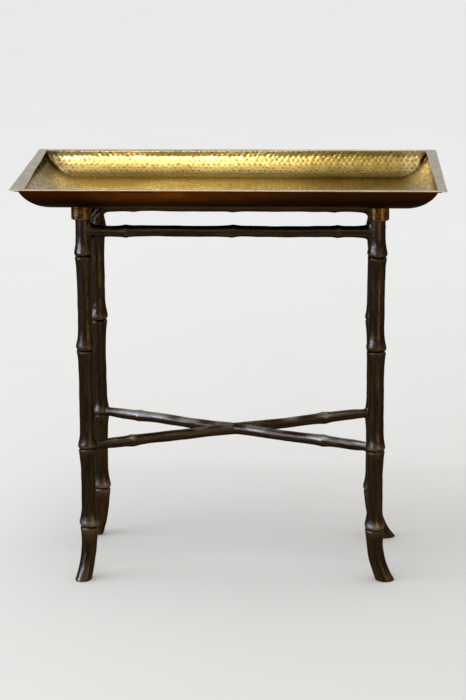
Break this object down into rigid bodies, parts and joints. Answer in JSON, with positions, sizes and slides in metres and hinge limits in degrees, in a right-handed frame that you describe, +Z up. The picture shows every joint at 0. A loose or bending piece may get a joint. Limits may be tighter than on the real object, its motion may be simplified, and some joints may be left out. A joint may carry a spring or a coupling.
{
  "type": "tray table",
  "caption": "Low occasional table: a loose rectangular hammered brass tray with rolled walls on a cast stand of bamboo-shaped legs, top rails and a crossed stretcher.",
  "frame": {"origin": "on the floor, under the centre of the stand and of the tray", "axes": "+X along the tray's length, +Y across it away from the front, +Z up"},
  "size_m": [0.64, 0.364, 0.626],
  "materials": {
    "hammered_brass": "hammered, polished, slightly tarnished",
    "rim_brass": "plain, satin",
    "cast_bronze": "dark brown patina rubbed through to gold, waxed",
    "cap_brass": "turned, brown-gold patina",
    "stud_steel": "plain"
  },
  "bodies": {
    "stand": {"leg_front_left": "cast_bronze", "leg_front_right": "cast_bronze", "leg_back_left": "cast_bronze", "leg_back_right": "cast_bronze", "leg_cap_front_left": "cap_brass", "leg_cap_front_right": "cap_brass", "leg_cap_back_left": "cap_brass", "leg_cap_back_right": "cap_brass", "cap_stud_front_left": "stud_steel", "cap_stud_front_right": "stud_steel", "cap_stud_back_left": "stud_steel", "cap_stud_back_right": "stud_steel", "rail_front": "cast_bronze", "rail_back": "cast_bronze", "rail_left": "cast_bronze", "rail_right": "cast_bronze", "stretcher_upper": "cast_bronze", "stretcher_lower": "cast_bronze", "stretcher_rivet": "cap_brass"},
    "tray": {"tray_pan": "hammered_brass", "tray_rim_front": "rim_brass", "tray_rim_back": "rim_brass", "tray_rim_left": "rim_brass", "tray_rim_right": "rim_brass"}
  },
  "joints": [
    {"name": "tray_lift", "type": "slide", "parent": "stand", "child": "tray", "axis": [0, 0, 1], "range_m": [0, 0.15]}
  ]
}
